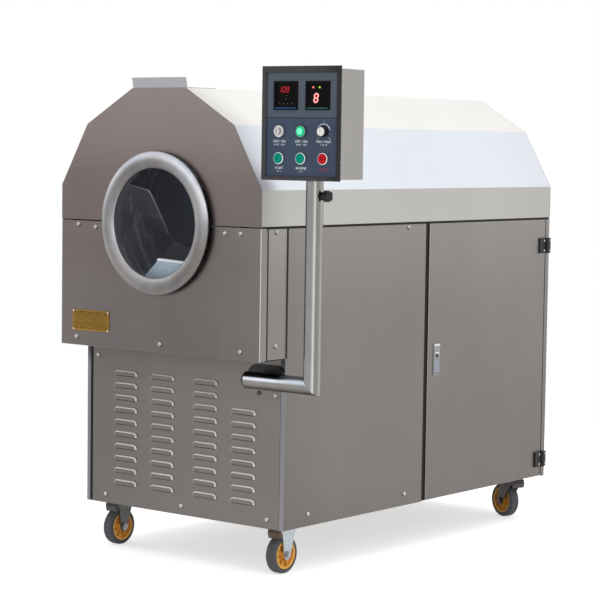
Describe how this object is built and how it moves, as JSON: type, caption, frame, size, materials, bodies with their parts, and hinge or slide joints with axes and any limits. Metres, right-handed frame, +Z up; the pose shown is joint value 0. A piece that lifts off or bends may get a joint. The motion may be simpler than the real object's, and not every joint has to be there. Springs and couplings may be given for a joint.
{
  "type": "herb roasting machine",
  "caption": "Rotary drum roaster in a folded stainless cabinet on casters, with a round feed mouth, side door, flue opening and a control box on a swivelling side post.",
  "frame": {"origin": "on the floor under the drum axis, half way along the cabinet", "axes": "+X to the control arm's side, +Y along the drum to the rear, +Z up"},
  "size_m": [0.9687, 1.4137, 1.3033],
  "materials": {
    "casing_steel": "satin",
    "drum_steel": "satin",
    "ring_steel": "polished",
    "frame_paint": "satin",
    "machine_steel": "satin",
    "bearing_iron": "matte",
    "motor_alloy": "satin",
    "wool": "matte",
    "heater_steel": "satin",
    "black_rubber": "matte",
    "plate_brass": "satin",
    "screw_steel": "polished",
    "arm_chrome": "polished",
    "black_plastic": "satin",
    "hinge_black": "satin",
    "lock_zinc": "satin",
    "frame_brown": "satin",
    "fascia_blue": "matte",
    "meter_black": "gloss",
    "bezel_chrome": "polished",
    "button_green": "gloss",
    "button_red": "gloss",
    "caster_zinc": "satin",
    "wheel_rubber": "matte"
  },
  "bodies": {
    "cabinet": {"frame": "frame_paint", "floor_pan": "casing_steel", "front_louvre_panel": "casing_steel", "right_side_panel": "casing_steel", "left_side_panel": "casing_steel", "rear_panel": "casing_steel", "head_lower_panel": "casing_steel", "head_cheeks": "casing_steel", "top_cover": "casing_steel", "top_front_plate": "casing_steel", "top_rear_plate": "casing_steel", "flue_lip": "casing_steel", "rubber_seals": "black_rubber", "nameplate": "plate_brass", "panel_screws": "screw_steel", "roller_brackets": "frame_paint", "rear_bearing": "bearing_iron", "gear_motor": "motor_alloy", "drive_chain": "machine_steel", "insulation_jacket": "wool", "heating_rods": "heater_steel", "power_module": "frame_paint", "arm_tube": "arm_chrome", "arm_rubbers": "black_rubber", "cable_gland": "black_plastic", "front_caster_forks": "caster_zinc", "rear_caster_plates": "caster_zinc", "cabinet_hinge_leaves": "hinge_black"},
    "drum": {"drum_shell": "drum_steel", "mouth_ring": "ring_steel", "drum_flights": "drum_steel", "discharge_blade": "drum_steel", "drum_shaft": "drum_steel", "drum_sprocket": "machine_steel"},
    "roller_left": {"support_roller_left": "machine_steel"},
    "roller_right": {"support_roller_right": "machine_steel"},
    "motor_drive": {"motor_sprocket": "machine_steel"},
    "door": {"door_panel": "casing_steel", "door_hinge_leaves": "hinge_black", "lock_body": "lock_zinc"},
    "door_button": {"lock_button": "lock_zinc"},
    "door_handle": {"lock_handle": "lock_zinc"},
    "control": {"control_box": "casing_steel", "control_frame": "frame_brown", "control_fascia": "fascia_blue", "display_meters": "meter_black", "switch_bezels": "bezel_chrome"},
    "clamp": {"clamp_knob": "black_plastic"},
    "key": {"key_switch": "bezel_chrome"},
    "heat": {"heat_button": "button_green"},
    "power": {"power_knob": "black_plastic"},
    "start": {"start_button": "button_green"},
    "reverse": {"reverse_button": "button_green"},
    "stop": {"stop_button": "button_red"},
    "wheel_front_left": {"front_left_wheel": "wheel_rubber"},
    "wheel_front_right": {"front_right_wheel": "wheel_rubber"},
    "swivel_left": {"rear_left_fork": "caster_zinc"},
    "swivel_right": {"rear_right_fork": "caster_zinc"},
    "wheel_rear_left": {"rear_left_wheel": "wheel_rubber"},
    "wheel_rear_right": {"rear_right_wheel": "wheel_rubber"}
  },
  "joints": [
    {"name": "drum_spin", "type": "hinge", "parent": "cabinet", "child": "drum", "pos_m": [0, 0, 0.903], "axis": [0, 1, 0], "continuous": true},
    {"name": "roller_left_spin", "type": "hinge", "parent": "cabinet", "child": "roller_left", "pos_m": [-0.16334, -0.5, 0.69394], "axis": [0, 1, 0], "continuous": true},
    {"name": "roller_right_spin", "type": "hinge", "parent": "cabinet", "child": "roller_right", "pos_m": [0.16334, -0.5, 0.69394], "axis": [0, 1, 0], "continuous": true},
    {"name": "motor_sprocket_spin", "type": "hinge", "parent": "cabinet", "child": "motor_drive", "pos_m": [0, 0.59, 0.25], "axis": [0, 1, 0], "continuous": true},
    {"name": "door_swing", "type": "hinge", "parent": "cabinet", "child": "door", "pos_m": [0.357, 0.604, 0.5], "axis": [0, 0, 1], "range_deg": [0, 120]},
    {"name": "lock_button_press", "type": "slide", "parent": "door", "child": "door_button", "axis": [-1, 0, 0], "range_m": [0, 0.0025], "stiffness_N_per_m": 400},
    {"name": "lock_handle_lift", "type": "hinge", "parent": "door", "child": "door_handle", "pos_m": [0.3504, 0.044, 0.483], "axis": [0, 1, 0], "range_deg": [0, 40]},
    {"name": "control_box_swivel", "type": "hinge", "parent": "cabinet", "child": "control", "pos_m": [0.4766, -0.675, 1], "axis": [0, 0, 1], "range_deg": [-90, 90]},
    {"name": "clamp_knob_turn", "type": "hinge", "parent": "cabinet", "child": "clamp", "pos_m": [0.5, -0.675, 0.9863], "axis": [1, 0, 0], "range_deg": [0, 360]},
    {"name": "key_switch_turn", "type": "hinge", "parent": "control", "child": "key", "pos_m": [0.41824, -0.74419, 1.1443], "axis": [-0.0924, 0.9957, 0], "range_deg": [0, 90]},
    {"name": "power_knob_turn", "type": "hinge", "parent": "control", "child": "power", "pos_m": [0.54669, -0.73227, 1.1443], "axis": [-0.0924, 0.9957, 0], "range_deg": [-135, 135]},
    {"name": "heat_button_press", "type": "slide", "parent": "control", "child": "heat", "axis": [-0.0924, 0.9957, 0], "range_m": [0, 0.004], "stiffness_N_per_m": 400},
    {"name": "start_button_press", "type": "slide", "parent": "control", "child": "start", "axis": [-0.0924, 0.9957, 0], "range_m": [0, 0.004], "stiffness_N_per_m": 400},
    {"name": "reverse_button_press", "type": "slide", "parent": "control", "child": "reverse", "axis": [-0.0924, 0.9957, 0], "range_m": [0, 0.004], "stiffness_N_per_m": 400},
    {"name": "stop_button_press", "type": "slide", "parent": "control", "child": "stop", "axis": [-0.0924, 0.9957, 0], "range_m": [0, 0.004], "stiffness_N_per_m": 400},
    {"name": "front_left_wheel_roll", "type": "hinge", "parent": "cabinet", "child": "wheel_front_left", "pos_m": [-0.291, -0.557, 0.05], "axis": [1, 0, 0], "continuous": true},
    {"name": "rear_left_caster_swivel", "type": "hinge", "parent": "cabinet", "child": "swivel_left", "pos_m": [-0.291, 0.542, 0.11], "axis": [0, 0, 1], "continuous": true},
    {"name": "rear_left_wheel_roll", "type": "hinge", "parent": "swivel_left", "child": "wheel_rear_left", "pos_m": [-0.32143, 0.55189, 0.05], "axis": [0.309, 0.9511, 0], "continuous": true},
    {"name": "front_right_wheel_roll", "type": "hinge", "parent": "cabinet", "child": "wheel_front_right", "pos_m": [0.291, -0.557, 0.05], "axis": [1, 0, 0], "continuous": true},
    {"name": "rear_right_caster_swivel", "type": "hinge", "parent": "cabinet", "child": "swivel_right", "pos_m": [0.291, 0.542, 0.11], "axis": [0, 0, 1], "continuous": true},
    {"name": "rear_right_wheel_roll", "type": "hinge", "parent": "swivel_right", "child": "wheel_rear_right", "pos_m": [0.26057, 0.55189, 0.05], "axis": [0.309, 0.9511, 0], "continuous": true}
  ],
  "couplings": [
    {"joint": "roller_left_spin", "follows": "drum_spin", "ratio": -6.5714},
    {"joint": "roller_right_spin", "follows": "drum_spin", "ratio": -6.5714},
    {"joint": "motor_sprocket_spin", "follows": "drum_spin", "ratio": 2.4}
  ]
}
